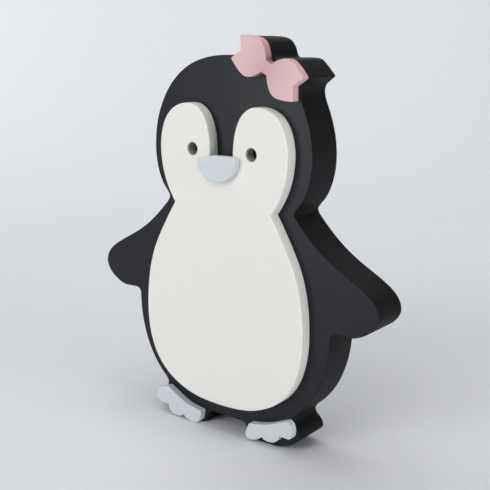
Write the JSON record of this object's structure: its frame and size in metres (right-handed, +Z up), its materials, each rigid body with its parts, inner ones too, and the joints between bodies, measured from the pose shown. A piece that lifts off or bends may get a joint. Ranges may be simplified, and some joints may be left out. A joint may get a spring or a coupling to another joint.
{
  "type": "standing penguin figure",
  "caption": "Free-standing layered board penguin with a white face panel, beak, toe panels and a pink bow.",
  "frame": {"origin": "middle of the bounding box in X and Y, at the floor under the two feet", "axes": "+Z up along the figure's height, -Y out of its face, +X to the right of a viewer who faces it"},
  "size_m": [0.3164, 0.0574, 0.3676],
  "materials": {
    "black_paint": "satin black paint on smooth board",
    "white_paint": "satin warm white paint on smooth board",
    "grey_paint": "satin pale blue-grey paint on smooth board",
    "pink_paint": "satin blush pink paint on smooth board",
    "dowel_wood": "bare beech"
  },
  "bodies": {
    "root": {"body_front_board": "black_paint", "body_back_board": "black_paint", "face_belly_panel": "white_paint", "beak": "grey_paint", "left_foot_panel": "grey_paint", "right_foot_panel": "grey_paint", "bow": "pink_paint", "body_dowel_1": "dowel_wood", "body_dowel_2": "dowel_wood", "body_dowel_3": "dowel_wood", "body_dowel_4": "dowel_wood", "body_dowel_5": "dowel_wood", "body_dowel_6": "dowel_wood", "face_panel_dowel_1": "dowel_wood", "face_panel_dowel_2": "dowel_wood", "face_panel_dowel_3": "dowel_wood", "face_panel_dowel_4": "dowel_wood", "beak_dowel_1": "dowel_wood", "beak_dowel_2": "dowel_wood", "bow_dowel_1": "dowel_wood", "bow_dowel_2": "dowel_wood", "left_foot_dowel_1": "dowel_wood", "left_foot_dowel_2": "dowel_wood", "right_foot_dowel_1": "dowel_wood", "right_foot_dowel_2": "dowel_wood"}
  },
  "joints": []
}
